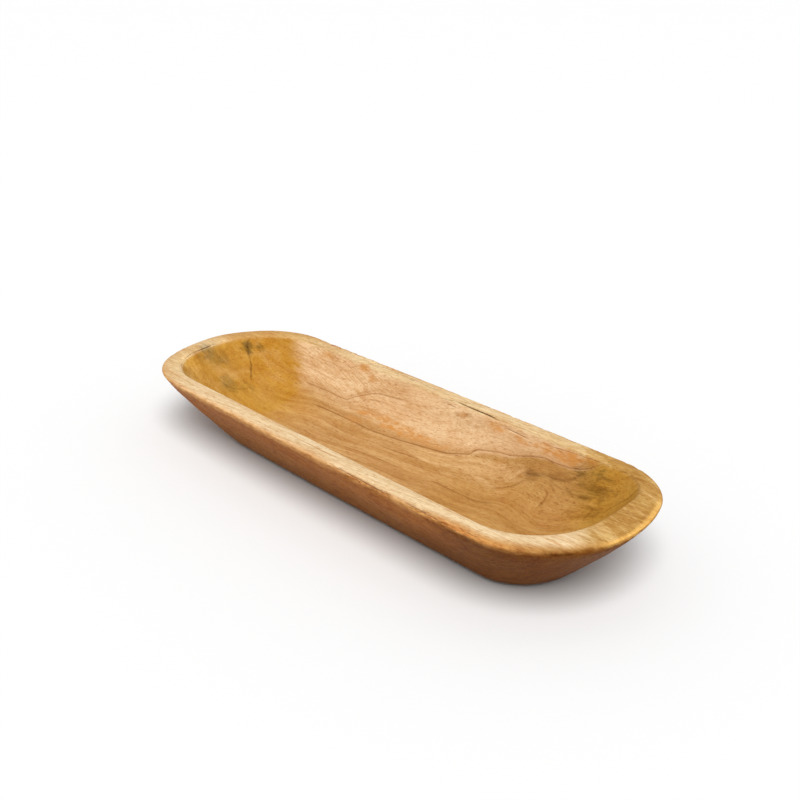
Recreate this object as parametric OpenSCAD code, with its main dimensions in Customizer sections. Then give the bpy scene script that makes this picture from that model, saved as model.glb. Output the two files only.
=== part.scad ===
// A long wooden tray carved from one block: a trough with a flat rim, raked
// ends and a narrow flat foot. X runs along the tray, Y from its front side to
// its back side, and Z up from the sole of the foot.

/* [Overall] */
// Length over the rim
rim_length = 500; // [420:5:600]
// Width over the rim at mid-length
rim_width = 166; // [140:2:200]
// Height from the sole to the top of the rim
tray_height = 62; // [50:1:80]

/* [Rim outline] */
// Corner radius at the right end, front side
rim_corner_front_right = 76; // [50:1:76]
// Corner radius at the right end, back side
rim_corner_back_right = 58; // [40:1:76]
// Corner radius at the left end, back side
rim_corner_back_left = 73; // [50:1:76]
// Corner radius at the left end, front side
rim_corner_front_left = 66; // [50:1:76]
// How far the middle of the right end stands out past its corners
rim_bow_right = 4.6; // [2:0.2:8]
// How far the middle of the left end stands out past its corners
rim_bow_left = 3.4; // [2:0.2:8]
// How far the middle of each long side stands out past its corners
side_bow = 0.6; // [0.4:0.1:3]

/* [Rim edges] */
// How far the worn outer edge reaches in over the rim
edge_reach = 3; // [1:0.5:6]
// How far it reaches in at the right end, where the wear is heaviest
edge_reach_right = 8; // [2:0.5:12]
// How far the worn outer edge reaches down the wall
edge_drop = 1.2; // [0.6:0.2:4]
// How far it reaches down at the right end
edge_drop_right = 2.4; // [0.6:0.2:6]
// Radius of the lip, where the rim turns down into the hollow
lip_round = 1.6; // [0.8:0.2:3]
// How much higher the middle of the rim is than its two edges
rim_crown = 0.4; // [0.2:0.1:1]

/* [Hollow] */
// Width of the rim at the front side
rim_front = 19.2; // [14:0.2:26]
// Width of the rim at the back side
rim_back = 13.4; // [10:0.2:20]
// Width of the rim at the right end
rim_right = 27.4; // [20:0.2:34]
// Width of the rim at the left end
rim_left = 17.6; // [14:0.2:26]
// Corner radius of the lip at the right end, front side
lip_corner_front_right = 58; // [30:1:62]
// Corner radius of the lip at the right end, back side
lip_corner_back_right = 32; // [24:1:62]
// Corner radius of the lip at the left end, back side
lip_corner_back_left = 62; // [30:1:62]
// Corner radius of the lip at the left end, front side
lip_corner_front_left = 51; // [30:1:62]
// How far the middle of the lip stands out past its corners at the right end
lip_bow_right = 1.2; // [0.6:0.2:4]
// How far the middle of the lip stands out past its corners at the left end
lip_bow_left = 3.2; // [0.6:0.2:6]
// Thickness of the wood under the floor of the hollow
floor_thickness = 14; // [10:1:20]
// How far the level floor stops short of the foot's end at each end
floor_inset = 40; // [30:1:80]
// Width of the level strip along the middle of the floor
floor_width = 18; // [10:1:40]
// Fullness of the hollow: 1 has straight walls, more is a rounder sweep
hollow_fullness = 2.3; // [1.6:0.1:3]

/* [Foot] */
// Length of the foot before its edge is rounded
foot_length = 362; // [320:2:420]
// Width of the foot before its edge is rounded
foot_width = 88; // [70:2:110]
// Corner radius of the foot
foot_corner = 37; // [20:1:38]
// How far the foot stands off-centre, towards the right end
foot_shift = 13; // [0:1:20]
// Rounding at the foot's edge
foot_round = 5; // [2:0.5:8]
// Fullness of the outer wall: 1 is straight, more is rounder
wall_fullness = 1.1; // [1:0.05:1.6]

/* [Hidden] */

wood = [0.83, 0.64, 0.42];

// Steps of a quarter outline: its end and corner arcs share theirs by their
// angles, with a few for even the flattest end
round_steps = 15;
fewest_end_steps = 3;
side_steps = 8;

// Rings of each part of the skin
wall_rings = 14;
edge_rings = 4;
rim_rings = 4;
lip_rings = 2;
hollow_rings = 13;

// Wood below the sole, planed off once the block is carved
planed_off = 1;

half_length = rim_length / 2;
half_width = rim_width / 2;
rim_edge_height = tray_height - rim_crown;

function mix(a, b, share) = a + (b - a) * share;

function reversed(points) = [for (k = [len(points) - 1 : -1 : 0]) points[k]];

function without_last(points) = [for (k = [0 : len(points) - 2]) points[k]];

// Points of an arc as [x, y, direction of the outward normal], ends included
function arc(centre, radius, from, to, steps) =
    [for (k = [0 : steps])
        let (angle = mix(from, to, k / steps))
        [centre.x + radius * cos(angle), centre.y + radius * sin(angle), angle]];

// Quarter of an outline from the middle of an end to the middle of a side: a
// long end arc, the corner arc and a long side arc, each tangent to the next
function quarter(length, width, corner_radius, end_bow) =
    let (
        corner = min(corner_radius, width - side_bow - 1.2 * end_bow),
        reach = length - corner,
        spread = width - corner,
        corner_x = reach - end_bow,
        corner_y = spread - side_bow,
        square_sum = corner_x * corner_x + corner_y * corner_y,
        end_centre = (reach * reach - square_sum) / (2 * end_bow),
        side_centre = (spread * spread - square_sum) / (2 * side_bow),
        end_angle = atan2(corner_y, corner_x - end_centre),
        side_angle = atan2(corner_y - side_centre, corner_x),
        end_steps = max(fewest_end_steps, round(round_steps * end_angle / 90)),
        corner_steps = round_steps - end_steps
    )
    concat(
        without_last(arc([end_centre, 0], length - end_centre, 0, end_angle, end_steps)),
        without_last(arc([corner_x, corner_y], corner, end_angle, side_angle, corner_steps)),
        arc([0, side_centre], width - side_centre, side_angle, 90, side_steps)
    );

function flipped(points, x_sign, y_sign) =
    [for (p = points)
        [x_sign * p.x, y_sign * p.y, atan2(y_sign * sin(p.z), x_sign * cos(p.z))]];

// Closed outline, anticlockwise from the middle of the right end. Corners go
// back right, back left, front left, front right; bows go right end, left end
function outline(length, width, corners, bows, centre) =
    let (
        back_right = quarter(length, width, corners[0], bows[0]),
        back_left = quarter(length, width, corners[1], bows[1]),
        front_left = quarter(length, width, corners[2], bows[1]),
        front_right = quarter(length, width, corners[3], bows[0]),
        points = concat(
            without_last(back_right),
            without_last(reversed(flipped(back_left, -1, 1))),
            without_last(flipped(front_left, -1, -1)),
            without_last(reversed(flipped(front_right, 1, -1)))
        )
    )
    [for (p = points) [p.x + centre.x, p.y + centre.y, p.z]];

function four(radius) = [radius, radius, radius, radius];

rim_outline = outline(
    half_length, half_width,
    [rim_corner_back_right, rim_corner_back_left, rim_corner_front_left, rim_corner_front_right],
    [rim_bow_right, rim_bow_left], [0, 0]);

lip_outline = outline(
    half_length - (rim_left + rim_right) / 2, half_width - (rim_front + rim_back) / 2,
    [lip_corner_back_right, lip_corner_back_left, lip_corner_front_left, lip_corner_front_right],
    [lip_bow_right, lip_bow_left],
    [(rim_left - rim_right) / 2, (rim_front - rim_back) / 2]);

foot_right = foot_length / 2 + foot_shift;
foot_left = foot_length / 2 - foot_shift;
floor_right = foot_right - floor_inset;
floor_left = foot_left - floor_inset;
floor_outline = outline(
    (floor_right + floor_left) / 2, floor_width / 2,
    four(floor_width / 2), [lip_bow_right, lip_bow_left] / 2,
    [(floor_right - floor_left) / 2, (rim_front - rim_back) / 2]);

foot_outline = outline(
    (foot_right + foot_left) / 2, foot_width / 2,
    four(foot_corner), [rim_bow_right, rim_bow_left], [(foot_right - foot_left) / 2, 0]);

point_count = len(rim_outline);

// Point of an outline moved in along its normal, at a height
function inset(p, distance, z) =
    [p.x - distance * cos(p.z), p.y - distance * sin(p.z), z];

// Point part of the way from one outline to another, at a height
function between(p, q, share, z) = [mix(p.x, q.x, share), mix(p.y, q.y, share), z];

// How far a point of the rim's outline faces the right end, from 0 to 1
function facing_right(p) = max(0, cos(p.z));

function reach_at(p) = mix(edge_reach, edge_reach_right, facing_right(p));
function drop_at(p) = mix(edge_drop, edge_drop_right, facing_right(p));

// Outer wall, from the bottom of the block up to the worn edge
function wall_ring(share) =
    [for (k = [0 : point_count - 1])
        let (
            top = rim_edge_height - drop_at(rim_outline[k]),
            z = mix(-planed_off, top, pow(share, 1.4)),
            undercut = foot_round * pow(max(0, 1 - z / foot_round), 2),
            spread = 1 - pow(1 - z / top, wall_fullness)
        )
        between(
            inset(foot_outline[k], undercut, z),
            inset(rim_outline[k], undercut, z), spread, z)];

// Worn outer edge, from the wall over onto the rim
function edge_ring(share) =
    [for (p = rim_outline)
        let (angle = 90 * share)
        inset(p, reach_at(p) * (1 - cos(angle)), rim_edge_height - drop_at(p) * (1 - sin(angle)))];

// Rim, between the worn edge and the lip
function rim_ring(share) =
    [for (k = [0 : point_count - 1])
        between(
            inset(rim_outline[k], reach_at(rim_outline[k]), 0),
            inset(lip_outline[k], -lip_round, 0), share,
            tray_height - rim_crown * pow(2 * share - 1, 2))];

// Lip, from the rim down into the hollow
function lip_ring(share) =
    [for (p = lip_outline)
        let (angle = 90 * share)
        inset(p, -lip_round * (1 - sin(angle)), rim_edge_height - lip_round * (1 - cos(angle)))];

// Hollow, from the lip down to the level floor
function hollow_ring(share) =
    [for (k = [0 : point_count - 1])
        between(lip_outline[k], floor_outline[k], share,
            mix(floor_thickness, rim_edge_height - lip_round, pow(1 - share, hollow_fullness)))];

rings = [
    for (k = [0 : wall_rings]) wall_ring(k / wall_rings),
    for (k = [1 : edge_rings]) edge_ring(k / edge_rings),
    for (k = [1 : rim_rings]) rim_ring(k / rim_rings),
    for (k = [1 : lip_rings]) lip_ring(k / lip_rings),
    for (k = [1 : hollow_rings]) hollow_ring(k / hollow_rings)
];

// Index of a point of a ring, counted on past the ring's end
function at(ring, k) = ring * point_count + k % point_count;

// Two triangles for each step between one ring and the next
skin_faces = [
    for (ring = [0 : len(rings) - 2])
        for (k = [0 : point_count - 1])
            each [
                [at(ring, k), at(ring + 1, k), at(ring + 1, k + 1)],
                [at(ring, k), at(ring + 1, k + 1), at(ring, k + 1)]
            ]
];

// Strips across a ring, from one long side to the other
function strips(ring) =
    let (half = point_count / 2)
    [for (k = [0 : half - 1])
        k == 0 ? [at(ring, 0), at(ring, 1), at(ring, point_count - 1)]
        : k == half - 1 ? [at(ring, k), at(ring, half), at(ring, half + 1)]
        : [at(ring, k), at(ring, k + 1), at(ring, point_count - k - 1), at(ring, point_count - k)]];

// The block as carved, with its bottom still to be planed
module carved_block() {
    polyhedron(
        points = [for (ring = rings) each ring],
        faces = concat(skin_faces, strips(0), [for (f = strips(len(rings) - 1)) reversed(f)]),
        convexity = 4);
}

// Wood that the plane takes off below the sole
module planing() {
    margin = 10;
    translate([-half_length, -half_width, -planed_off - margin])
        cube([rim_length, rim_width, planed_off + margin]);
}

module tray() {
    color(wood)
    difference() {
        carved_block();
        planing();
    }
}

tray();
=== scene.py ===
"""A long wooden tray carved from one block, dressed over its CAD solid.

Run it as a script: it registers the settings, operators and panel below, and
its main function calls the operators in order.
"""
import math

import bmesh
import bpy
import numpy as np
from bpy.props import FloatProperty, FloatVectorProperty, IntProperty, PointerProperty
from mathutils import Matrix, Vector, noise
from mathutils.bvhtree import BVHTree
from mathutils.kdtree import KDTree


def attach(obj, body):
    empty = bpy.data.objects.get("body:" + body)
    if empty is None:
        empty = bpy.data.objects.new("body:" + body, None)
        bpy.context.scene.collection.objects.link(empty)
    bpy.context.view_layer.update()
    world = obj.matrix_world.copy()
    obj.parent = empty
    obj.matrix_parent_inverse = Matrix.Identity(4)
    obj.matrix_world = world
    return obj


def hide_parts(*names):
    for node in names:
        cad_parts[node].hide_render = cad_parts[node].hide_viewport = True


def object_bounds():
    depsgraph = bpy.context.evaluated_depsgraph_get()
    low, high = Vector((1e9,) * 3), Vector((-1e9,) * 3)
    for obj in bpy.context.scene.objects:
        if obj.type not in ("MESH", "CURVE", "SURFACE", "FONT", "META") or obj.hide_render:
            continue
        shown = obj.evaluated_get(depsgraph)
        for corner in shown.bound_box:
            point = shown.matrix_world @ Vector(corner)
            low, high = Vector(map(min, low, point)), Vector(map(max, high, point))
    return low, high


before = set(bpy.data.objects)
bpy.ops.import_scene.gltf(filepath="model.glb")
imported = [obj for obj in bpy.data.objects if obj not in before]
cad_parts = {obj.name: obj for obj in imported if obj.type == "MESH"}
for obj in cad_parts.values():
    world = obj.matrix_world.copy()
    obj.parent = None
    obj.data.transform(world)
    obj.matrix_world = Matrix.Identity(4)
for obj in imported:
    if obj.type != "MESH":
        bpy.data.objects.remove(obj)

bl_info = {
    "name": "Carved wooden tray",
    "version": (1, 0, 0),
    "blender": (4, 5, 0),
    "location": "View3D > Sidebar > Tray",
    "description": "Models, finishes and lights a long carved wooden tray",
    "category": "Object",
}

CAD_BOX = [list(corner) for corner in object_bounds()]
MM = 0.001
LEVEL = 0.02 * MM

# Degrees above the horizon between which the backdrop turns into the fill, and metres of floor
SKY_TURN = (8, 30)
FLOOR_SIZE = 40

# Places across the tray, in mm, at which the level floor and foot are cut lengthwise
FLOOR_CUTS = [2.9]
FOOT_CUTS = [-24, -12, 0, 12, 24]

# Cuts across each side that is too long, round by round, and the longest edge left after them in mm
SIDE_CUTS = (2, 2, 1)
FIRST_EDGE = 2.6

# Heights in mm that the foot ends at and the rim starts at, and half the tray's straight middle
FOOT_TOP = 1.0
RIM_LOW = 50.0
SPINE = 170.0

# A face is level whose normal rises by more than this
UPRIGHT = 0.9999

# The worn outer edge's slope inwards and up, the band beside it in mm, and the lip's heights in mm
EDGE_SLOPE = (0.41, 0.91)
EDGE_BAND = 12.0
LIP_TURN = (60.6, 58.5)

# Waves of the carved surfaces: share, sizes in mm along, across and up, and a seed
WALL_WAVES = [(0.55, (80, 34, 26), 3.1), (0.35, (26, 16, 10), 8.3)]
HOLLOW_WAVES = [(0.9, (60, 24, 24), 5.7), (0.3, (16, 9, 9), 1.9)]
RIM_WAVES = [(1.0, (70, 24, 24), 6.6)]
TORN_WAVES = [(1.0, (9, 2.5, 2.5), 4.4), (0.5, (3, 1.5, 1.5), 2.2)]

# How far waves are lowered to stay inside the solid, and the torn ones raised, in wave heights
WALL_SINK = 0.6
RIM_SINK = 0.8
TORN_RISE = 0.15

# No line shows further away than this in mm, and its ends taper over this share or length
LINE_REACH = 12.0
TAPER_SHARE = 0.3
LONGEST_TAPER = 14.0

# Size of the photograph's frame, which the pixel places below count in
PHOTO = 800

# Lines of the wood are given as pixels, a half-width in mm and how strongly they show
RING_LINES = [
    ([(303, 381), (327, 391), (345, 399), (355, 397), (375, 393.5), (385, 395.5),
      (411, 401.5)], 1.0, 0.8),
    ([(311, 403), (348, 419), (369, 429.5), (396, 439), (420, 446), (446, 453), (462, 454),
      (470, 454), (474, 451), (480, 450), (498, 452), (512, 455.5), (540, 457), (555, 463),
      (572, 468), (586, 469), (603, 464)], 1.2, 1.0),
    ([(376, 444), (394, 451), (407, 455), (420, 460)], 1.1, 0.6),
    ([(424, 481), (436, 483), (449, 489.5), (462, 495), (476, 501), (495, 504)], 2.2, 0.7),
    ([(489, 487), (498, 488), (512, 486), (522, 481), (528, 476)], 1.3, 0.6),
    ([(543, 487), (547, 494), (543, 502), (536, 508)], 1.8, 0.7),
]
CRACKS = [
    ([(455, 401), (464, 404.5), (474, 409), (486, 414), (498, 420)], 0.8, 1.0),
    ([(440, 398), (452, 401)], 0.3, 0.4),
    ([(446, 403), (456, 408)], 0.3, 0.5),
    ([(503, 427), (516, 433), (530, 440)], 0.35, 0.5),
    ([(513, 426), (528, 430)], 0.25, 0.4),
    ([(545, 445), (575, 454), (607, 465)], 0.3, 0.35),
    ([(184, 360), (192, 353), (205, 348), (216, 343)], 0.4, 0.8),
    ([(184, 360), (182, 366), (187, 372), (197, 378), (215, 388)], 0.3, 0.45),
    ([(178, 352.5), (183, 354.5), (189, 357)], 0.6, 0.7),
    ([(186, 349.5), (199, 346)], 0.5, 0.6),
    ([(397, 372.5), (405, 376), (418, 382)], 0.6, 0.8),
    ([(367, 361.5), (379, 366.5)], 0.6, 0.7),
    ([(425, 385), (441, 391)], 0.4, 0.5),
    ([(290, 434), (310, 444), (331, 455)], 0.45, 0.5),
    ([(305, 438), (330, 449), (362, 463)], 0.4, 0.4),
    ([(330, 463.5), (342, 469), (355, 476), (380, 489), (394, 497)], 0.75, 0.9),
    ([(402, 500.5), (412, 505), (425, 511.5), (442, 521), (462, 529.5), (480, 537)], 0.75, 0.9),
    ([(366, 489), (380, 495), (393, 502)], 0.5, 0.6),
]
STREAKS_AND_CREASE_SHADE = [
    ([(523, 473), (531, 474), (543, 475), (556, 479), (570, 480), (582, 474), (592, 469)], 2.4, 0.45),
    ([(250, 337), (247, 344), (249, 354), (250, 360)], 2.6, 0.75),
    ([(250, 356), (251, 369), (251, 382)], 1.3, 0.8),
    # Painted shade: a dark arc along the crease where the left end wall meets the floor
    ([(215, 375), (222, 382), (232, 388), (243, 389), (253, 388)], 1.4, 0.4),
    ([(256, 345), (266, 351)], 1.6, 0.4),
    ([(545, 554), (560, 555.5), (577, 554)], 1.6, 0.8),
    ([(640, 482), (638, 489), (628, 498), (616, 505), (605, 512), (597, 518)], 1.3, 0.4),
]

# Outer edges that are split into splinters: pixels, how far it reaches in mm, how deep
SPLINTERS = [
    ([(330, 465), (365, 482), (395, 498)], 6.0, 0.7),
    ([(405, 503), (440, 521), (478, 536)], 6.0, 0.7),
    ([(300, 335), (335, 346), (370, 360), (402, 371)], 4.5, 1.0),
    ([(402, 371), (450, 389), (520, 420), (600, 453), (642, 470)], 2.5, 0.6),
    ([(173, 354), (185, 347), (200, 341)], 5.0, 0.5),
]

# Soft patches of colour: pixel at the middle, its reach along X, Y and Z in mm, how strong
SMOKE = [
    ((209, 352), (5, 4, 3), 0.5),
    ((221, 363), (5, 5, 3), 0.3),
    ((248, 347), (9, 8, 9), 0.8),
    ((259, 348), (12, 8, 6), 0.55),
    ((604, 473), (10, 8, 12), 0.35),
]
KNOTS_AND_SHADE = [
    ((531, 474), (9, 8, 6), 0.8),
    ((558, 477), (20, 7, 7), 0.45),
    ((583, 474), (14, 7, 8), 0.5),
    # Painted shade: darkens the hollow at the right end beside the near side
    ((587, 508), (27, 20, 16), 0.6),
    ((597, 494), (20, 20, 16), 0.65),
    ((635, 476), (15, 9, 5), 0.5),
    ((470, 420), (30, 8, 8), 0.45),
]
MOSS = [
    ((210, 353), (20, 12, 12), 0.9),
    ((220, 359), (18, 13, 9), 0.75),
    ((229, 384), (16, 12, 10), 0.8),
    ((246, 387), (18, 10, 7), 0.55),
    ((203, 358), (12, 9, 8), 0.6),
    ((594, 486), (22, 20, 20), 0.65),
    ((586, 474), (18, 12, 14), 0.65),
    ((604, 500), (16, 18, 14), 0.35),
]
GLOW = [
    ((190, 363), (13, 14, 14), 0.8),
    ((198, 378), (22, 12, 12), 0.6),
    ((225, 342), (14, 10, 5), 0.4),
    ((631, 489), (9, 16, 12), 0.45),
]
PALE = [
    ((428, 456), (26, 7, 6), 0.85),
    ((446, 470), (20, 6, 6), 0.6),
    ((455, 465), (28, 9, 7), 1.0),
    ((480, 467), (26, 9, 7), 1.0),
    ((500, 470), (20, 8, 7), 0.9),
    ((519, 470), (14, 7, 6), 0.6),
    ((472, 476), (36, 9, 7), 0.65),
]
RUST = [
    ((548, 449), (14, 6, 6), 0.8),
    ((568, 457), (18, 7, 7), 1.0),
    ((588, 462), (14, 6, 6), 0.7),
    ((541, 447), (12, 4, 5), 0.8),
    ((521, 440), (10, 3, 4), 0.8),
    ((497, 428), (12, 4, 5), 0.7),
    ((463, 415), (10, 4, 5), 0.5),
    ((434, 424), (4, 4, 8), 0.45),
    ((365, 368), (12, 5, 6), 0.8),
    ((373, 379), (8, 5, 6), 0.6),
    ((327, 358), (16, 6, 6), 0.65),
    ((300, 372), (10, 4, 7), 0.25),
    ((398, 428), (70, 7, 8), 0.75),
    ((352, 418), (20, 5, 4), 0.5),
]

LINES = {"ring": RING_LINES, "crack": CRACKS, "streak_and_crease_shade": STREAKS_AND_CREASE_SHADE, "splinter": SPLINTERS}
PATCHES = {"smoke": SMOKE, "knot": KNOTS_AND_SHADE, "moss": MOSS, "glow": GLOW, "pale": PALE, "rust": RUST}

# The ring line that parts the pinkish side from the heartwood
LONG_RING = 1

# Edges near these lines are halved where longer than the first size, within the second, in mm
FINER = [("ring", 2.0, 7.0), ("streak_and_crease_shade", 2.0, 7.0), ("splinter", 1.5, 7.0), ("crack", 1.2, 4.0),
         ("crack", 0.7, 2.0)]

# The trunk's middle across the tray and up in mm, its slant, and the width of one year's ring
PITH = (-150.0, 24.0)
PITH_SLANT = 0.15
RING_WIDTH = 6.5

# Noise of the wood: sizes in mm along, across and up, then detail, roughness and shift
PATTERNS = {
    "broad": ((160, 9, 26), 3, 0.55, (0, 0, 0)),
    "streaks": ((60, 1.7, 4.0), 4, 0.65, (3, 7, 1)),
    "fibres": ((8, 0.6, 0.8), 2, 0.6, (5, 2, 9)),
    "blotches": ((40, 22, 22), 4, 0.62, (8, 1, 4)),
    "mottle": ((7, 3.5, 3.5), 3, 0.65, (2, 6, 3)),
    "pores": ((4.2, 0.75, 0.9), 1, 0.5, (0, 0, 0)),
    "flecks": ((3.4, 0.8, 0.9), 1, 0.5, (4, 4, 4)),
    "ragged": ((16, 4, 5), 4, 0.65, (0, 0, 0)),
    "bands": ((70, 9, 40), 2, 0.5, (1, 4, 2)),
    "lengthwise": ((60, 1.5, 3.0), 4, 0.7, (9, 3, 5)),
    "floor_streaks": ((90, 9, 16), 2, 0.5, (2, 9, 5)),
    "hatch": ((24, 1, 1.3), 2, 0.6, (3, 0, 8)),
    "dashes": ((9, 2.0, 2.0), 3, 0.6, (6, 6, 1)),
    "torn": ((7, 3.2, 3.4), 3, 0.6, (7, 2, 2)),
}

# How far the planed bands of the rim turn about Z, and the hatching rises along the tray
BAND_TURN = math.radians(-23)
HATCH_RISE = 0.23

# Coordinates that slant: how much of another one is added to the place along the tray
SLANTS = {"left_slant": ("height", 0.9), "right_slant": ("depth", 0.5), "far_slant": ("depth", 0.8)}

# Where one look turns into another: the coordinate, from and to which mm, and the shares there
TURNS = {
    "right_wall": ("run", 40, 110),
    "right_floor": ("run", 40, 120),
    "floor": ("height", 38, 17),
    "heart": ("run", 10, 90),
    "left_amber": ("left_slant", -121, -142),
    "right_amber": ("right_slant", 176, 208),
    "left_floor": ("run", -90, -170, 0, 0.75),
    "low": ("height", 34, 20),
    "left": ("run", 100, -100),
    "far": ("depth", 5, 50),
    "right_aged": ("far_slant", 188, 226),
    "left_aged": ("run", -150, -222, 0, 0.48),
    "back": ("depth", 0, 28),
    "back_aged": ("run", -130, -215, 0.3, 0.95),
    "back_left": ("run", -160, -225),
    "far_rim": ("depth", 40, 70),
    "far_rim_aged": ("run", 60, 150, 0, 0.6),
    # The next three fade in the painted golden highlight on the right end's rounded outer edge
    "highlight_end": ("far_slant", 212, 238),
    "highlight_edge": ("over_edge", -3.4, -1.6),
    "highlight_side": ("depth", 65, 35, 0, 0.8),
    "worn_edge": ("over_edge", -4.5, -1.5),
    "near": ("depth", 0, -40),
    # The outside darkens towards the right end and the foot: darker wood with painted shade
    "dark_right": ("run", 110, 185),
    "dark_low": ("run", 40, 140),
    "low_outside_and_shade": ("height", 50, 16),
    "corner_edge": ("far_slant", 110, 190),
    "narrow_edge": ("far_slant", 120, 205, 0, 3.5),
    "on_floor": ("height", 34, 22),
    "off_floor": ("height", 22, 34),
    "hatched": ("run", -10, -90),
    "near_ring": ("ring_side", 10, 0.5),
    "under_ring": ("ring_side", -0.6, 0.6),
    "fringe_top": ("over_edge", -2.6, -0.8),
    "fringe_low": ("over_edge", 4, 1),
}

# How patterns vary the wood: from and to which value of the pattern, and the tint there
VARIATIONS = {
    "broad": [((0.4, 0.7), (0.93, 0.88, 0.82))],
    "streaks": [((0.45, 0.75), (0.80, 0.71, 0.60))],
    "fibres": [((0.4, 0.7), (0.90, 0.85, 0.80))],
    "blotches": [((0.45, 0.7), (0.93, 0.86, 0.78))],
    "mottle": [((0.4, 0.7), (0.93, 0.88, 0.82))],
    "outer_mottle": [((0.48, 0.62), (0.84, 0.78, 0.74))],
    "rim_mottle": [((0.46, 0.6), (0.90, 0.85, 0.75))],
    "flecks": [((0.58, 0.72), (1.096, 1.108, 1.132))],
    "bands": [((0.46, 0.55), (0.84, 0.76, 0.59)), ((0.48, 0.42), (1.07, 1.10, 1.16))],
    "lengthwise": [((0.52, 0.72), (0.85, 0.68, 0.56)), ((0.48, 0.30), (1.08, 1.13, 1.24))],
    "floor_streaks": [((0.50, 0.62), (0.90, 0.84, 0.73)), ((0.48, 0.38), (1.06, 1.08, 1.10))],
    "hatch": [((0.48, 0.62), (0.88, 0.80, 0.70)), ((0.46, 0.34), (1.06, 1.08, 1.10))],
}

# Tints that multiply the wood's colour where a mark shows
TINTS = {
    "back_left": (0.92, 0.82, 0.70),
    "near_worn": (0.94, 0.86, 0.80),
    "late_wood": (0.912, 0.872, 0.824),
    "pores": (0.804, 0.706, 0.622),
    "under_ring": (0.888, 0.832, 0.748),
    "ring": (0.643, 0.524, 0.405),
    "fringe": (0.802, 0.577, 0.415),
    "torn": (1.10, 1.14, 1.22),
    "glow": (1.38, 1.50, 1.60),
    "moss": (0.66, 0.70, 0.75),
    # The knot tint also lays the painted shade at the hollow's right end
    "knot": (0.62, 0.54, 0.44),
    "smoke": (0.46, 0.50, 0.52),
    "streak_and_crease_shade": (0.42, 0.38, 0.34),
}

# Gloss of the oiled wood, its tint and roughness, and the height of its fibres
GLOSS = 0.06
GLOSS_TINT = (1.0, 0.8, 0.6, 1.0)
ROUGHNESS = (0.45, 0.62)
FIBRE_HEIGHT = 0.3 * MM
FIBRE_STRENGTH = 0.6

# Stains, the knot one also carrying painted shade, in the order they are laid on, and the strengths
# between which each one fades in
STAINS = [("glow", 0.2, 1.0), ("moss", 0.25, 1.0), ("knot", 0.25, 1.0), ("smoke", 0.3, 0.9)]


def smooth_step(low, high, value):
    share = np.clip((value - low) / (high - low), 0.0, 1.0)
    return share * share * (3.0 - 2.0 * share)


def color_property(name, description, color):
    return FloatVectorProperty(
        name=name, description=description, default=color, subtype="COLOR", size=3, min=0.0, max=1.0)


def angle_property(name, description, degrees):
    return FloatProperty(
        name=name, description=description, default=math.radians(degrees), subtype="ANGLE")


def length_property(name, description, length, **limits):
    return FloatProperty(
        name=name, description=description, default=length, unit="LENGTH", **limits)


class TrayStageSettings(bpy.types.PropertyGroup):
    azimuth: angle_property(
        "Azimuth", "Where the camera stands, from the front towards the right end", 45.72)
    elevation: angle_property("Elevation", "How high the camera looks down from", 24.74)
    distance: length_property("Distance", "From the middle of the rim to the camera", 0.852)
    aim_right: length_property(
        "Aim right", "How far right of the rim's middle the camera aims", 0.0175)
    aim_up: length_property("Aim up", "How far above the rim's middle the camera aims", 0.0143)
    lens: FloatProperty(
        name="Lens", description="Focal length in millimetres", default=46.58, unit="CAMERA")
    key_power: FloatProperty(
        name="Key light", description="Strength of the soft key light", default=3.0)
    key_azimuth: angle_property("Key azimuth", "Where the key light stands round the tray", 50)
    key_height: angle_property("Key height", "Elevation of the key light", 60)
    key_softness: angle_property(
        "Key softness", "Width of the key light as seen from the tray", 40)
    sky_high: FloatProperty(
        name="Fill", description="Strength of the fill from above", default=0.55)
    sky_low: FloatProperty(
        name="Backdrop", description="Strength of the pale backdrop near the horizon", default=0.75)
    floor_color: color_property("Floor", "Colour of the plain floor", (0.72, 0.72, 0.72))


class TrayShapeSettings(bpy.types.PropertyGroup):
    longest_edge: length_property(
        "Longest edge", "Sides with longer faces are cut again before smoothing", 12 * MM, min=4 * MM)
    wall_wave: length_property(
        "Wall waves", "Height of the waves that carving left outside", 0.7 * MM)
    hollow_wave: length_property(
        "Hollow waves", "Height of the waves that carving left inside", 0.5 * MM)
    rim_wave: length_property("Rim waves", "How unevenly the rim was planed", 0.35 * MM)
    wear_reach: length_property("Wear reach", "How far the near edge is rubbed round", 9 * MM)
    wear_passes: IntProperty(
        name="Wear passes", description="How much the near edge is rubbed round", default=36)
    crack_depth: length_property("Crack depth", "Depth of a crack that is 2 mm wide", 3.0 * MM)
    torn_depth: length_property(
        "Torn depth", "Depth of the torn places in the hollow", 0.6 * MM)
    splinter_depth: length_property(
        "Splinter depth", "How deep the outer edge is split", 2.0 * MM)


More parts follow.
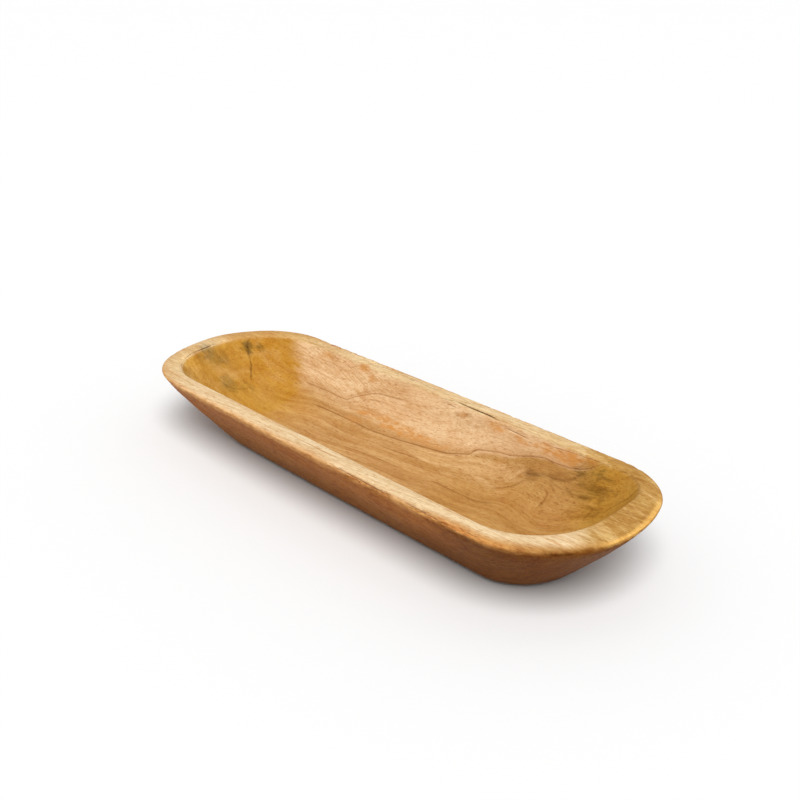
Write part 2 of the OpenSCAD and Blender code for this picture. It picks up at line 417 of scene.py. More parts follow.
class TrayWoodSettings(bpy.types.PropertyGroup):
    wall: color_property(
        "Hollow's sides", "Pinkish wood of the sides, cut along the grain", (0.73, 0.52, 0.305))
    right_wall: color_property(
        "Hollow's sides, right", "Tanner wood near the right end", (0.66, 0.44, 0.245))
    floor: color_property(
        "Hollow's floor", "Browner wood at the bottom of the hollow", (0.51, 0.30, 0.12))
    low_floor: color_property(
        "Hollow's floor, right", "Darker wood at the right of the floor", (0.425, 0.228, 0.062))
    pale: color_property(
        "Below the ring", "Pinkish wood just below the long ring line", (0.615, 0.40, 0.19))
    heart: color_property(
        "Heartwood", "Brown wood below the long ring line", (0.46, 0.255, 0.082))
    rim: color_property("Rim", "Pale worn wood of the rim", (0.72, 0.57, 0.355))
    rim_end: color_property(
        "Rim's ends", "Yellow-brown wood of the rim round the ends", (0.57, 0.375, 0.14))
    end: color_property(
        "Right end", "Amber wood where the right end cuts the grain across", (0.46, 0.245, 0.04))
    left_end: color_property(
        "Left end", "Deeper amber wood of the left end", (0.43, 0.21, 0.022))
    edge: color_property(
        "Worn edge", "Orange-tan wood of the rounded outer edge", (0.63, 0.33, 0.11))
    corner_edge: color_property(
        "Worn edge, corner", "Browner wood of the front right corner's edge", (0.44, 0.25, 0.085))
    # Painted highlight: the bright golden colour of the right end's rounded outer edge
    right_edge_highlight: color_property(
        "Worn edge, right", "Golden wood of the right end's outer edge", (0.80, 0.50, 0.15))
    # The outside's colours are darker wood with painted shade of the downward-facing sides, darkest at
    # the right end and near the foot
    outside: color_property(
        "Outside", "Dark rubbed wood of the outer sides", (0.36, 0.13, 0.023))
    right_outside_and_shade: color_property(
        "Outside, right", "Darker wood of the right end's outside", (0.175, 0.060, 0.007))
    low_outside_and_shade: color_property("Outside, low", "Wood near the foot", (0.27, 0.107, 0.02))
    rust: color_property("Rust", "Orange of torn and rubbed places", (0.51, 0.215, 0.045))
    # Painted shade: the crack colours below are darker than the wood to stand in for the shade inside
    # the grooves, near-black in the cracks and red-brown in the splits
    crack: color_property("Cracks", "Dark inside of the cracks", (0.075, 0.03, 0.01))
    edge_crack: color_property(
        "Splits", "Red-brown splits along the near edge", (0.21, 0.075, 0.024))


def deselect_all():
    bpy.ops.object.select_all(action="DESELECT")


def select_only(piece):
    deselect_all()
    piece.select_set(True)
    bpy.context.view_layer.objects.active = piece


def toward(azimuth, elevation):
    """Direction from the tray to something at this azimuth and elevation."""
    level = math.cos(elevation)
    return Vector((math.sin(azimuth) * level, -math.cos(azimuth) * level, math.sin(elevation)))


def make_camera(settings):
    back = toward(settings.azimuth, settings.elevation)
    right = (-back).cross(Vector((0, 0, 1))).normalized()
    up = right.cross(-back)
    rim_middle = Vector((0, 0, CAD_BOX[1][2]))
    place = rim_middle + back * settings.distance + right * settings.aim_right + up * settings.aim_up
    bpy.ops.object.camera_add(location=place)
    camera = bpy.context.object
    camera.name = "camera"
    camera.rotation_euler = Matrix((right, up, back)).transposed().to_euler()
    camera.data.lens = settings.lens
    camera.data.sensor_fit = "HORIZONTAL"
    camera.data.clip_start = 0.01
    bpy.context.scene.camera = camera
    return camera


def floor_material(color):
    material = bpy.data.materials.new("pale_floor")
    material.use_nodes = True
    shader = material.node_tree.nodes["Principled BSDF"]
    shader.inputs["Base Color"].default_value = (*color, 1.0)
    shader.inputs["Roughness"].default_value = 0.9
    shader.inputs["Specular IOR Level"].default_value = 0.1
    return material


class TRAY_OT_stage(bpy.types.Operator):
    """Sets the camera, the plain floor and the soft lights"""
    bl_idname = "tray.stage"
    bl_label = "Camera, floor and lights"

    def execute(self, context):
        settings = context.scene.tray_stage
        make_camera(settings)

        deselect_all()
        bpy.ops.mesh.primitive_plane_add(size=FLOOR_SIZE)
        floor = context.object
        floor.name = "floor"
        floor.data.materials.append(floor_material(settings.floor_color))

        toward_key = toward(settings.key_azimuth, settings.key_height)
        bpy.ops.object.light_add(type="SUN", location=toward_key)
        key = context.object
        key.name = "key_light"
        key.rotation_euler = toward_key.to_track_quat("Z", "Y").to_euler()
        key.data.energy = settings.key_power
        key.data.angle = settings.key_softness

        world = bpy.data.worlds.new("studio")
        world.use_nodes = True
        tree = world.node_tree
        place = tree.nodes.new("ShaderNodeTexCoord")
        parts = tree.nodes.new("ShaderNodeSeparateXYZ")
        fade = tree.nodes.new("ShaderNodeMapRange")
        fade.interpolation_type = "SMOOTHSTEP"
        low, high = (math.sin(math.radians(angle)) for angle in SKY_TURN)
        ends = {"From Min": low, "From Max": high,
                "To Min": settings.sky_low, "To Max": settings.sky_high}
        for name, value in ends.items():
            fade.inputs[name].default_value = value
        tree.links.new(place.outputs["Generated"], parts.inputs[0])
        tree.links.new(parts.outputs["Z"], fade.inputs["Value"])
        tree.links.new(fade.outputs["Result"], tree.nodes["Background"].inputs["Strength"])
        tree.nodes["Background"].inputs["Color"].default_value = (1, 1, 1, 1)
        context.scene.world = world
        context.scene.view_settings.view_transform = "Standard"
        return {"FINISHED"}


def in_edit_mode(piece, select_mode="VERT"):
    """Opens a piece in edit mode with nothing selected, and returns its mesh."""
    select_only(piece)
    bpy.ops.object.mode_set(mode="EDIT")
    bpy.ops.mesh.select_mode(type=select_mode)
    bpy.ops.mesh.select_all(action="DESELECT")
    return bmesh.from_edit_mesh(piece.data)


def leave_edit_mode(piece):
    bmesh.update_edit_mesh(piece.data)
    bpy.ops.object.mode_set(mode="OBJECT")


def copy_of_solid(node, name):
    """Copies a CAD solid's mesh, merges it and joins its triangles into four-sided faces."""
    select_only(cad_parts[node])
    bpy.ops.object.duplicate()
    piece = bpy.context.object
    piece.name = name
    in_edit_mode(piece)
    bpy.ops.mesh.select_all(action="SELECT")
    bpy.ops.mesh.remove_doubles(threshold=LEVEL / 2)
    bpy.ops.mesh.tris_convert_to_quads(
        face_threshold=math.radians(60), shape_threshold=math.radians(180))
    leave_edit_mode(piece)
    return piece


def level_of(face, height):
    return all(abs(corner.co.z - height) < LEVEL for corner in face.verts)


def rebuild_level(piece, height, lengthwise):
    """Makes one face of a level patch, then cuts it across at its corners and lengthwise, in mm."""
    mesh = in_edit_mode(piece, "FACE")
    for face in mesh.faces:
        face.select_set(level_of(face, height))
    level = [vert.co for vert in mesh.verts if abs(vert.co.z - height) < LEVEL]
    crossings = sorted({round(place.x, 5) for place in level})
    bpy.ops.mesh.dissolve_faces()
    cuts = [((x, 0, 0), (1, 0, 0)) for x in crossings[1:-1]]
    cuts += [((0, y * MM, 0), (0, 1, 0)) for y in lengthwise]
    for place, normal in cuts:
        mesh = bmesh.from_edit_mesh(piece.data)
        for face in mesh.faces:
            face.select_set(level_of(face, height))
        bpy.ops.mesh.bisect(plane_co=place, plane_no=normal, threshold=LEVEL)
    leave_edit_mode(piece)


def cut_long_sides(piece, longest):
    """Cuts the edges that run round the tray until none is longer than wanted."""
    for cuts in SIDE_CUTS:
        mesh = in_edit_mode(piece, "EDGE")
        for edge in mesh.edges:
            first, second = (vert.co for vert in edge.verts)
            across = abs(first.x - second.x) < abs(first.z - second.z) or first.z < LEVEL
            edge.select_set(edge.calc_length() > longest and not across)
        bpy.ops.mesh.subdivide(number_cuts=cuts, quadcorner="INNERVERT")
        leave_edit_mode(piece)


def smooth_by_subdivision(piece, levels):
    modifier = piece.modifiers.new("smooth", "SUBSURF")
    modifier.levels = levels
    modifier.render_levels = levels
    select_only(piece)
    bpy.ops.object.modifier_apply(modifier=modifier.name)


def read_vectors(items, field):
    """One vector of each item of a mesh, as rows of an array."""
    values = np.empty(len(items) * 3, dtype=np.float32)
    items.foreach_get(field, values)
    return values.reshape(-1, 3).astype(float)


def halve_long_edges(piece, longest, lines=None, reach=None):
    """Cuts the edges above the foot that are too long, all of them or those near some lines, in mm."""
    places = read_vectors(piece.data.vertices, "co") / MM
    wanted = places[:, 2] > FOOT_TOP
    if lines:
        side, wide, show = lines.measure(places, read_vectors(piece.data.vertex_normals, "vector"))
        wanted &= (show > 0) & (np.abs(side) < reach)
    mesh = in_edit_mode(piece, "EDGE")
    for edge in mesh.edges:
        both = wanted[edge.verts[0].index] and wanted[edge.verts[1].index]
        edge.select_set(bool(both) and edge.calc_length() > longest * MM)
    bpy.ops.mesh.subdivide(number_cuts=1, quadcorner="INNERVERT")
    leave_edit_mode(piece)


def nearest_of(places, points):
    """The nearest of some points to each place."""
    tree = KDTree(len(points))
    for index, point in enumerate(points):
        tree.insert(Vector(point), index)
    tree.balance()
    return points[[tree.find(Vector(place))[1] for place in places]]


def softness(places):
    """How round the outer edge is worn: most at the near side's right, least at the back."""
    run, depth = places[:, 0], places[:, 1]
    near = smooth_step(15, -25, depth)
    right = 1 + 0.4 * smooth_step(110, 170, run) - 0.8 * smooth_step(215, 242, run)
    return near * right * (1 - 0.4 * smooth_step(-190, -235, run))


def front_right(places):
    """Where the rim's front right corner is rubbed down the most, from 0 to 1."""
    run, depth = places[:, 0], places[:, 1]
    return smooth_step(110, 170, run) * smooth_step(250, 238, run) * smooth_step(-15, -35, depth)


def sharp_edge(piece):
    """Places in mm of the vertices along the rim's sharp outer edge."""
    places = read_vectors(piece.data.vertices, "co") / MM
    normals = read_vectors(piece.data.vertex_normals, "vector")
    tilted = np.abs(normals[:, 2] - 0.4) < 0.35
    outward = outward_share(places, normals) > 0.2
    return places[tilted & outward & (places[:, 2] > RIM_LOW)]


def wear_edge(piece, edge, reach, passes):
    """Rubs the sharp outer edge of the rim round."""
    places = read_vectors(piece.data.vertices, "co") / MM
    gap = np.linalg.norm(places - nearest_of(places, edge), axis=1)
    close = gap < reach / MM * softness(places)
    mesh = in_edit_mode(piece)
    mesh.verts.ensure_lookup_table()
    for index in np.flatnonzero(close):
        mesh.verts[index].select_set(True)
    mesh.select_flush_mode()
    bpy.ops.mesh.vertices_smooth(factor=0.5, repeat=passes)
    leave_edit_mode(piece)


def outward_share(places, normals):
    """How far a surface looks away from the tray's long middle line, from -1 to 1."""
    spine = np.clip(places[:, 0], -SPINE, SPINE)
    away = np.stack([places[:, 0] - spine, places[:, 1]], axis=1)
    away /= np.maximum(np.linalg.norm(away, axis=1), 1e-6)[:, None]
    return (normals[:, :2] * away).sum(axis=1)


def waves(places, table):
    """The sum of a table's waves of smooth noise, each from about minus to plus its share."""
    total = np.zeros(len(places))
    for share, sizes, seed in table:
        rows = places / np.array(sizes) + seed
        total += share * np.array([noise.noise(Vector(row)) for row in rows])
    return total


def smooth_line(points, steps=8):
    """More points on a smooth curve through the given ones."""
    points = np.array(points, dtype=float)
    padded = np.vstack([2 * points[0] - points[1], points, 2 * points[-1] - points[-2]])
    line = []
    for before, start, end, after in zip(padded, padded[1:], padded[2:], padded[3:]):
        for t in np.arange(steps) / steps:
            line.append(0.5 * (2 * start + (end - before) * t
                               + (2 * before - 5 * start + 4 * end - after) * t * t
                               + (3 * start - before - 3 * end + after) * t ** 3))
    line.append(points[-1])
    return np.array(line)


class Sight:
    """Finds the places of the tray that pixels of the photograph show."""

    def __init__(self, camera, solid):
        bpy.context.view_layer.update()
        self.camera = camera
        self.surface = BVHTree.FromObject(solid, bpy.context.evaluated_depsgraph_get())

    def place(self, pixel):
        """The place in mm behind a pixel, or the nearest one to its ray past an edge."""
        width = self.camera.data.sensor_width / self.camera.data.lens
        right, down = pixel[0] / PHOTO - 0.5, pixel[1] / PHOTO - 0.5
        ray = Vector((right * width, -down * width, -1)).normalized()
        ray.rotate(self.camera.matrix_world.to_quaternion())
        start = self.camera.matrix_world.translation
        place = self.surface.ray_cast(start, ray)[0]
        reach = start.length
        while place is None:
            nearest = self.surface.find_nearest(start + ray * reach)[0]
            ahead = (nearest - start).dot(ray)
            if abs(ahead - reach) < MM:
                place = nearest
            reach = ahead
        return np.array(place) / MM

    def line(self, pixels):
        return np.array([self.place(pixel) for pixel in smooth_line(pixels)])


class LineField:
    """Lines on the surface, to find how far each place lies from the nearest one."""

    def __init__(self, lines, parts=6):
        self.rows = []
        self.tree = KDTree(sum(len(line) - 1 for line, half_width, show in lines) * parts)
        for line, half_width, show in lines:
            steps = np.linalg.norm(np.diff(line, axis=0), axis=1)
            starts = np.concatenate([[0], np.cumsum(steps)])
            for index, step in enumerate(steps):
                along = (line[index + 1] - line[index]) / max(step, 1e-6)
                for part in range(parts):
                    ahead = step * part / parts
                    to_end = min(starts[index] + ahead, starts[-1] - starts[index] - ahead)
                    place = line[index] + along * ahead
                    self.tree.insert(Vector(place), len(self.rows))
                    self.rows.append([*place, *along, to_end, starts[-1], half_width, show])
        self.tree.balance()
        self.rows = np.array(self.rows)

    def measure(self, places, normals):
        """Signed distance and half-width in mm, and strength, which fades to a line's ends."""
        near = self.rows[[self.tree.find(Vector(place))[1] for place in places]]
        gap = places - near[:, 0:3]
        along, to_end, whole = near[:, 3:6], near[:, 6], near[:, 7]
        side = (gap * np.cross(normals, along)).sum(axis=1)
        taper = np.minimum(1.0, 0.3 + to_end / np.minimum(whole * TAPER_SHARE, LONGEST_TAPER))
        fade = smooth_step(3.0, 1.0, np.abs((gap * along).sum(axis=1)))
        fade *= smooth_step(LINE_REACH, 8.0, np.linalg.norm(gap, axis=1))
        return np.clip(side, -LINE_REACH, LINE_REACH), near[:, 8] * taper, near[:, 9] * fade * taper


def patch_field(places, patches):
    """Soft patches, strongest at their middles."""
    field = np.zeros(len(places))
    for middle, reach, amount in patches:
        distance = np.linalg.norm((places - middle) / np.array(reach), axis=1)
        field = np.maximum(field, amount * smooth_step(1.6, 0.2, distance))
    return field


def ring_distance(places):
    """Distance in mm from the trunk's middle, which runs along the tray with a slant."""
    across = places[:, 1] - PITH[0] - PITH_SLANT * places[:, 0]
    return np.hypot(across, places[:, 2] - PITH[1])


def growth_field(places, lines, reach=30.0, slack=0.05):
    """Distance from the trunk's middle, bent so that the seen ring lines each keep one distance."""
    knots = np.vstack(lines)
    wanted = np.concatenate([np.full(len(line), ring_distance(line).mean()) for line in lines])
    gaps = np.linalg.norm(knots[:, None] - knots[None], axis=2)
    pull = np.exp(-(gaps / reach) ** 2) + slack * np.eye(len(knots))
    weights = np.linalg.solve(pull, wanted - ring_distance(knots))
    field = ring_distance(places)
    for knot, weight in zip(knots, weights):
        field += weight * np.exp(-(((places - knot) / reach) ** 2).sum(axis=1))
    return field


def edge_fields(places, normals, edge):
    """How far each place lies past the outer edge, and its share of the outside and inside."""
    nearest = nearest_of(places, edge)
    inset = np.linalg.norm((nearest - places)[:, :2], axis=1)
    over_edge = EDGE_SLOPE[1] * (nearest - places)[:, 2] - EDGE_SLOPE[0] * inset
    over_edge = np.clip(over_edge + 2.0 * front_right(places), -EDGE_BAND, 60)
    soft = np.maximum(0.25, softness(places))
    by_edge = smooth_step(-3.0 * soft, 1.5 * soft - 3.0 * np.maximum(0, soft - 1), over_edge)
    upright = smooth_step(0.45, 0.1, normals[:, 2])
    outward = smooth_step(-0.2, 0.2, outward_share(places, normals))
    by_normal = np.maximum(upright * outward, smooth_step(-0.5, -0.9, normals[:, 2]))
    outside = np.where(np.linalg.norm(nearest - places, axis=1) < EDGE_BAND, by_edge, by_normal)
    inside = (1 - outside) * smooth_step(*LIP_TURN, places[:, 2]) * (inset > EDGE_BAND)
    return {"over_edge": over_edge, "outside": outside, "inside": inside}


def mark_fields(places, normals, sight, lines):
    """The patches and lines of the photograph, measured at each place."""
    fields = {}
    for name, patches in PATCHES.items():
        placed = [(sight.place(pixel), reach, amount) for pixel, reach, amount in patches]
        fields[name] = patch_field(places, placed)
    for name in lines:
        measured = lines[name].measure(places, normals)
        fields.update(zip((name + "_side", name + "_wide", name + "_show"), measured))
    return fields


def add_field(piece, name, values):
    attribute = piece.data.attributes.new(name, "FLOAT", "POINT")
    attribute.data.foreach_set("value", values.astype(np.float32))


class Recipe:
    """The nodes of one material, added and linked by plain calls."""

    def __init__(self, name):
        self.material = bpy.data.materials.new(name)
        self.material.use_nodes = True
        self.tree = self.material.node_tree
        self.shader = self.tree.nodes["Principled BSDF"]

    def feed(self, socket, value):
        """Links a socket to another node's output, or sets it."""
        if isinstance(value, bpy.types.NodeSocket):
            self.tree.links.new(value, socket)
        elif isinstance(value, (int, float)):
            socket.default_value = value
        else:
            socket.default_value = (*value, 1.0) if socket.type == "RGBA" else value

    def math(self, operation, first, second=0.0):
        node = self.tree.nodes.new("ShaderNodeMath")
        node.operation = operation
        self.feed(node.inputs[0], first)
        self.feed(node.inputs[1], second)
        return node.outputs[0]

    def product(self, *values):
        result = values[0]
        for value in values[1:]:
            result = self.math("MULTIPLY", result, value)
        return result

    def fade(self, value, low, high, start=0.0, end=1.0):
        """A smooth change from start to end as a value goes from low to high."""
        node = self.tree.nodes.new("ShaderNodeMapRange")
        node.interpolation_type = "SMOOTHSTEP"
        self.feed(node.inputs["Value"], value)
        self.feed(node.inputs["From Min"], low)
        self.feed(node.inputs["From Max"], high)
        self.feed(node.inputs["To Min"], start)
        self.feed(node.inputs["To Max"], end)
        return node.outputs["Result"]

    def blend(self, share, first, second, way="MIX"):
        node = self.tree.nodes.new("ShaderNodeMix")
        node.data_type = "RGBA"
        node.blend_type = way
        self.feed(node.inputs[0], share)
        self.feed(node.inputs[6], first)
        self.feed(node.inputs[7], second)
        return node.outputs[2]

    def tint(self, color, name, *shares):
        """Multiplies a colour by one of the tints, as far as the shares' product says."""
        return self.blend(self.product(*shares), color, TINTS[name], "MULTIPLY")

    def vary(self, color, name, pattern, *shares):
        """Darkens a colour where a pattern is high and lightens it where it is low."""
        for span, by in VARIATIONS[name]:
            color = self.blend(self.product(self.fade(pattern, *span), *shares), color, by, "MULTIPLY")
        return color

    def plus(self, value, other, factor):
        """A value with another one, times a factor, added to it."""
        return self.math("ADD", value, self.product(other, factor))

    def split(self, vector):
        node = self.tree.nodes.new("ShaderNodeSeparateXYZ")
        self.feed(node.inputs[0], vector)
        return node.outputs["X"], node.outputs["Y"], node.outputs["Z"]

    def join(self, *parts):
        node = self.tree.nodes.new("ShaderNodeCombineXYZ")
        for socket, part in zip(node.inputs, parts):
            self.feed(socket, part)
        return node.outputs["Vector"]

    def field(self, name):
        node = self.tree.nodes.new("ShaderNodeAttribute")
        node.attribute_name = name
        return node.outputs["Fac"]

    def stretched(self, vector, sizes, shift=(0, 0, 0), turn=0.0):
        """Coordinates in which a pattern's grain has these sizes in mm, turned about Z."""
        node = self.tree.nodes.new("ShaderNodeMapping")
        node.vector_type = "TEXTURE"
        self.feed(node.inputs["Vector"], vector)
        node.inputs["Scale"].default_value = sizes
        node.inputs["Rotation"].default_value = (0.0, 0.0, turn)
        node.inputs["Location"].default_value = [-step * size for step, size in zip(shift, sizes)]
        return node.outputs["Vector"]

    def pattern(self, name, vector, turn=0.0):
        sizes, detail, roughness, shift = PATTERNS[name]
        node = self.tree.nodes.new("ShaderNodeTexNoise")
        self.feed(node.inputs["Vector"], self.stretched(vector, sizes, shift, turn))
        node.inputs["Scale"].default_value = 1.0
        node.inputs["Detail"].default_value = detail
        node.inputs["Roughness"].default_value = roughness
        return node.outputs["Fac"]

    def bump(self, height, strength, distance):
        node = self.tree.nodes.new("ShaderNodeBump")
        node.inputs["Strength"].default_value = strength
        node.inputs["Distance"].default_value = distance
        self.feed(node.inputs["Height"], height)
        return node.outputs["Normal"]


class Wood(Recipe):
    """Oiled, hand-carved wood. Its coordinates and distances are in the tray's own millimetres."""

    def __init__(self, name, settings):
        super().__init__(name)
        self.settings = settings
        object_place = self.tree.nodes.new("ShaderNodeTexCoord").outputs["Object"]
        self.plain = self.stretched(object_place, (MM, MM, MM))
        run, depth, height = self.split(self.plain)
        self.places = {"run": run, "depth": depth, "height": height}
        for slant, (other, factor) in SLANTS.items():
            self.places[slant] = self.plus(run, self.places[other], factor)
        for distance in ("over_edge", "ring_side"):
            self.places[distance] = self.field(distance)
        self.growth = self.field("growth")
        self.grain = self.join(run, self.growth, height)
        self.inside = self.field("inside")
        self.outside = self.field("outside")
        self.near_side = self.turn("near")

        self.broad = self.pattern("broad", self.grain)
        self.streaks = self.pattern("streaks", self.grain)
        self.fibres = self.pattern("fibres", self.grain)
        self.blotches = self.pattern("blotches", self.plain)
        self.mottle = self.pattern("mottle", self.plain)
        self.pores = self.fade(self.pattern("pores", self.grain), 0.57, 0.70)
        self.ragged = self.math("SUBTRACT", self.pattern("ragged", self.grain), 0.5)
        self.wander = self.product(self.ragged, 1.2)
        self.amber = self.amber_share()

    def turn(self, name, ragged=0):
        """How far a look has turned into the next one, past an edge that is ragged by so many mm."""
        place, *span = TURNS[name]
        value = self.places[place]
        if ragged:
            value = self.plus(value, self.ragged, ragged)
        return self.fade(value, *span)

    def line(self, name, wobble):
        """How strongly thin lines show, from the distance and width that the mesh carries."""
        moved = self.math("ABSOLUTE", self.math("ADD", self.field(name + "_side"), wobble))
        width = self.math("ADD", self.field(name + "_wide"), 0.05)
        core = self.fade(self.math("DIVIDE", moved, width), 0.0, 1.0, 1.0, 0.0)
        return self.product(core, self.field(name + "_show"))

    def stain(self, name, low, high):
        """A soft patch of the mesh with a ragged edge."""
        return self.fade(self.plus(self.field(name), self.ragged, 1.5), low, high)

    def amber_share(self):
        """Where the hollow's ends cut the grain across, as a slanting wall and a softer floor."""
        left, right = self.turn("left_amber", ragged=22), self.turn("right_amber", ragged=30)
        walls = self.math("ADD", left, right)
        walls = self.product(walls, self.fade(self.blotches, 0.3, 0.6, 0.8, 1.0))
        return self.math("MAXIMUM", walls, self.product(self.turn("left_floor"), self.turn("low")))

    def hollow_color(self):
        """Pinkish sides, a browner floor, heartwood below the long ring line and amber ends."""
        colors = self.settings
        wall = self.blend(self.turn("right_wall"), colors.wall, colors.right_wall)
        floor = self.blend(self.turn("right_floor"), colors.floor, colors.low_floor)
        color = self.blend(self.turn("floor"), wall, floor)
        past_ring = self.math("ADD", self.field("past_ring"), self.wander)
        heart = self.product(self.fade(past_ring, 0.5, -2.5), self.turn("heart"))
        color = self.blend(heart, color, colors.heart)
        color = self.blend(self.stain("pale", 0.15, 0.9), color, colors.pale)
        far_left = self.product(self.turn("left"), self.turn("far"))
        return self.blend(self.amber, color, self.blend(far_left, colors.end, colors.left_end))

    def rim_color(self):
        """Pale worn wood, aged to yellow-brown round the ends, with a painted golden highlight past
        the right edge.
        """
        colors = self.settings
        right = self.turn("right_aged", ragged=12)
        back = self.turn("back")
        aged = self.math("ADD", right, self.turn("left_aged"))
        aged = self.math("MAXIMUM", aged, self.product(back, self.turn("back_aged")))
        far_right = self.product(self.turn("far_rim"), self.turn("far_rim_aged"))
        color = self.blend(self.math("MAXIMUM", aged, far_right), colors.rim, colors.rim_end)
        color = self.tint(color, "back_left", back, self.turn("back_left"))
        color = self.vary(color, "bands", self.pattern("bands", self.plain, BAND_TURN), right)
        color = self.vary(color, "rim_mottle", self.mottle, right)
        color = self.vary(color, "lengthwise", self.pattern("lengthwise", self.plain))
        # Painted highlight along the right end's outer edge
        right_highlight = self.product(*map(self.turn, ("highlight_end", "highlight_edge", "highlight_side")))
        color = self.blend(right_highlight, color, colors.right_edge_highlight)
        return self.tint(color, "near_worn", self.turn("worn_edge"), self.near_side)

    def outer_color(self):
        """Dark sides, darker wood with painted shade, darkest at the right and near the foot, below
        the orange-tan worn edge.
        """
        colors = self.settings
        high = self.blend(self.turn("dark_right"), colors.outside, colors.right_outside_and_shade)
        low = self.blend(self.turn("dark_low"), colors.low_outside_and_shade, colors.right_outside_and_shade)
        color = self.blend(self.turn("low_outside_and_shade", ragged=16), high, low)
        edge = self.blend(self.turn("corner_edge"), colors.edge, colors.corner_edge)
        # The right end's edge takes the painted golden highlight
        edge = self.blend(self.turn("highlight_end"), edge, colors.right_edge_highlight)
        past_edge = self.plus(self.places["over_edge"], self.ragged, 5)
        past_edge = self.math("ADD", past_edge, self.turn("narrow_edge"))
        return self.blend(self.fade(past_edge, 0.5, 6.0), edge, color)

    def add_grain(self, color):
        """Growth rings, streaks, blotches, fibres, the blade's hatching, pores and flecks."""
        on_floor = self.product(self.turn("on_floor"), self.inside)
        lined = self.product(self.fade(self.product(self.amber, self.inside), 0.0, 1.0, 1.0, 0.4),
                             self.fade(on_floor, 0.0, 1.0, 1.0, 0.85))
        years = self.math("DIVIDE", self.growth, RING_WIDTH)
        rings = self.math("FRACT", self.plus(years, self.ragged, 0.4))
        late_wood = self.product(self.fade(rings, 0.55, 0.93), self.fade(rings, 1.0, 0.94))
        color = self.tint(color, "late_wood", late_wood, self.fade(self.broad, 0.45, 0.62), lined)
        color = self.vary(color, "broad", self.broad)
        color = self.vary(color, "floor_streaks", self.pattern("floor_streaks", self.grain), on_floor)
        color = self.vary(color, "streaks", self.streaks, lined)
        color = self.vary(color, "blotches", self.blotches)
        color = self.vary(color, "mottle", self.mottle)
        color = self.vary(color, "outer_mottle", self.mottle, self.outside)
        color = self.vary(color, "fibres", self.fibres, lined)
        run, height = self.places["run"], self.places["height"]
        hatch = self.pattern("hatch", self.join(run, 0.0, self.plus(height, run, HATCH_RISE)))
        hatched = self.product(self.turn("hatched"), self.turn("off_floor"))
        color = self.vary(color, "hatch", hatch, hatched, self.inside, lined)
        color = self.tint(color, "pores", self.pores)
        return self.vary(color, "flecks", self.pattern("flecks", self.grain))

    def add_marks(self, color, crack):
        """The seen ring lines, splinters, torn rusty places, stains with one patch of painted shade,
        dark streaks with the painted shade of a crease, and cracks darkened as painted shade.
        """
        under_ring = self.product(self.turn("near_ring"), self.turn("under_ring"))
        color = self.tint(color, "under_ring", under_ring, self.field("ring_show"))
        color = self.tint(color, "ring", self.line("ring", self.wander))
        dashes = self.fade(self.pattern("dashes", self.plain), 0.47, 0.58)
        by_edge = self.product(self.turn("fringe_top"), self.turn("fringe_low"))
        color = self.tint(color, "fringe", self.field("splinter_show"), dashes, by_edge)
        torn = self.pattern("torn", self.grain)
        rust = self.stain("rust", 0.3, 0.9)
        rusty = self.product(rust, self.fade(torn, 0.32, 0.58, 0.25, 0.85))
        color = self.blend(rusty, color, self.settings.rust)
        color = self.tint(color, "torn", rust, self.fade(torn, 0.46, 0.34))
        for name, low, high in STAINS:
            color = self.tint(color, name, self.stain(name, low, high))
        # Dark streaks, and the painted shade of the left end's crease
        color = self.tint(color, "streak_and_crease_shade", self.line("streak_and_crease_shade", self.product(self.ragged, 4.0)))
        # The cracks' dark colour is painted shade inside their grooves
        crack_shade_color = self.blend(self.near_side, self.settings.crack, self.settings.edge_crack)
        return self.blend(crack, color, crack_shade_color)

    def relief(self, crack):
        """Raised fibres and streaks, and sunken pores and cracks."""
        raised = self.plus(self.product(self.fibres, 0.5), self.streaks, 0.8)
        sunken = self.plus(self.product(self.pores, 0.5), crack, 2.0)
        return self.bump(self.math("SUBTRACT", raised, sunken), FIBRE_STRENGTH, FIBRE_HEIGHT)


def wood_material(settings):
    """Pale rim, pink-tan sides, amber ends and a dark rubbed outside, with their grain and marks."""
    wood = Wood("carved_wood", settings)
    rim = wood.math("SUBTRACT", 1.0, wood.math("ADD", wood.inside, wood.outside))
    color = wood.blend(rim, wood.hollow_color(), wood.rim_color())
    color = wood.blend(wood.outside, color, wood.outer_color())
    crack = wood.line("crack", wood.product(wood.ragged, 0.8))
    color = wood.add_marks(wood.add_grain(color), crack)
    wood.feed(wood.shader.inputs["Base Color"], color)
    worn = wood.plus(wood.fibres, wood.blotches, 0.5)
    wood.feed(wood.shader.inputs["Roughness"], wood.fade(worn, 0.5, 1.0, *ROUGHNESS))
    wood.shader.inputs["Specular IOR Level"].default_value = GLOSS
    wood.shader.inputs["Specular Tint"].default_value = GLOSS_TINT
    wood.feed(wood.shader.inputs["Normal"], wood.relief(crack))
    return wood.material


def carve(piece, settings, places, normals, fields):
    """Moves the surface as carving, planing, cracks and splinters left it, inside the solid's box."""
    inside, outside = fields["inside"], fields["outside"]
    rim = 1 - inside - outside
    above_foot = smooth_step(FOOT_TOP, 6.0, places[:, 2])
    depth = outside * above_foot * (waves(places, WALL_WAVES) - WALL_SINK) * settings.wall_wave
    depth += inside * waves(places, HOLLOW_WAVES) * settings.hollow_wave
    depth += rim * (waves(places, RIM_WAVES) - RIM_SINK) * settings.rim_wave
    crack = np.maximum(0, 1 - np.abs(fields["crack_side"]) / (fields["crack_wide"] + 0.3))
    depth -= crack * fields["crack_show"] * fields["crack_wide"] * settings.crack_depth
    torn = np.maximum(0, waves(places, TORN_WAVES) + TORN_RISE)
    depth -= torn * fields["rust"] * inside * settings.torn_depth
    near_edge = smooth_step(1.6, 0.6, np.abs(fields["splinter_side"]) / fields["splinter_wide"])
    depth -= torn * near_edge * fields["splinter_show"] * settings.splinter_depth
    carved = np.clip(places * MM + normals * depth[:, None], CAD_BOX[0], CAD_BOX[1])
    piece.data.vertices.foreach_set("co", carved.astype(np.float32).ravel())
    piece.data.update()


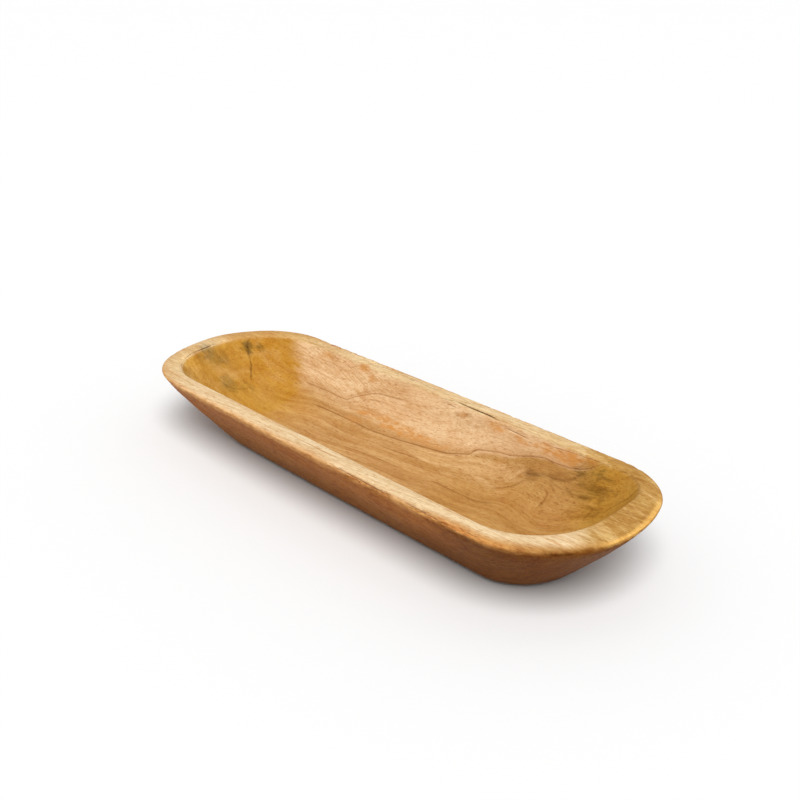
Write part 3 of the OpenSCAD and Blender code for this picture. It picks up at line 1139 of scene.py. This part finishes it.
class TRAY_OT_carved_tray(bpy.types.Operator):
    """Models the carved tray over its solid and gives it its wood"""
    bl_idname = "tray.carved_tray"
    bl_label = "Carved tray"

    def execute(self, context):
        shape = context.scene.tray_shape
        tray = copy_of_solid("tray", "carved_tray")
        floor_height = min(face.center.z for face in tray.data.polygons if face.normal.z > UPRIGHT)
        rebuild_level(tray, floor_height, FLOOR_CUTS)
        rebuild_level(tray, CAD_BOX[0][2], FOOT_CUTS)
        cut_long_sides(tray, shape.longest_edge)
        smooth_by_subdivision(tray, 1)
        halve_long_edges(tray, FIRST_EDGE)
        edge = sharp_edge(tray)
        wear_edge(tray, edge, shape.wear_reach, shape.wear_passes)

        sight = Sight(context.scene.camera, tray)
        seen = {name: [(sight.line(pixels), *rest) for pixels, *rest in table]
                for name, table in LINES.items()}
        lines = {name: LineField(table) for name, table in seen.items()}
        for name, longest, reach in FINER:
            halve_long_edges(tray, longest, lines[name], reach)

        places = read_vectors(tray.data.vertices, "co") / MM
        normals = read_vectors(tray.data.vertex_normals, "vector")
        fields = edge_fields(places, normals, edge)
        fields.update(mark_fields(places, normals, sight, lines))
        carve(tray, shape, places, normals, fields)

        rings = [line[::4] for line, half_width, show in seen["ring"]]
        fields["growth"] = growth_field(places, rings)
        fields["past_ring"] = fields["growth"] - ring_distance(rings[LONG_RING]).mean()
        for name, values in fields.items():
            add_field(tray, name, values)
        select_only(tray)
        bpy.ops.object.shade_smooth()
        tray.data.materials.clear()
        tray.data.materials.append(wood_material(context.scene.tray_wood))
        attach(tray, "root")
        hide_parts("tray")
        return {"FINISHED"}


class TRAY_PT_panel(bpy.types.Panel):
    """Lists the tray's operators in the sidebar"""
    bl_idname = "TRAY_PT_panel"
    bl_label = "Carved tray"
    bl_space_type = "VIEW_3D"
    bl_region_type = "UI"
    bl_category = "Tray"

    def draw(self, context):
        for operator in OPERATORS:
            self.layout.operator(operator.bl_idname)


OPERATORS = [TRAY_OT_stage, TRAY_OT_carved_tray]
CLASSES = [TrayStageSettings, TrayShapeSettings, TrayWoodSettings, *OPERATORS, TRAY_PT_panel]


def register():
    for cls in CLASSES:
        bpy.utils.register_class(cls)
    bpy.types.Scene.tray_stage = PointerProperty(type=TrayStageSettings)
    bpy.types.Scene.tray_shape = PointerProperty(type=TrayShapeSettings)
    bpy.types.Scene.tray_wood = PointerProperty(type=TrayWoodSettings)


def unregister():
    del bpy.types.Scene.tray_wood
    del bpy.types.Scene.tray_shape
    del bpy.types.Scene.tray_stage
    for cls in reversed(CLASSES):
        bpy.utils.unregister_class(cls)


def main():
    register()
    bpy.ops.tray.stage()
    bpy.ops.tray.carved_tray()


if __name__ == "__main__":
    main()
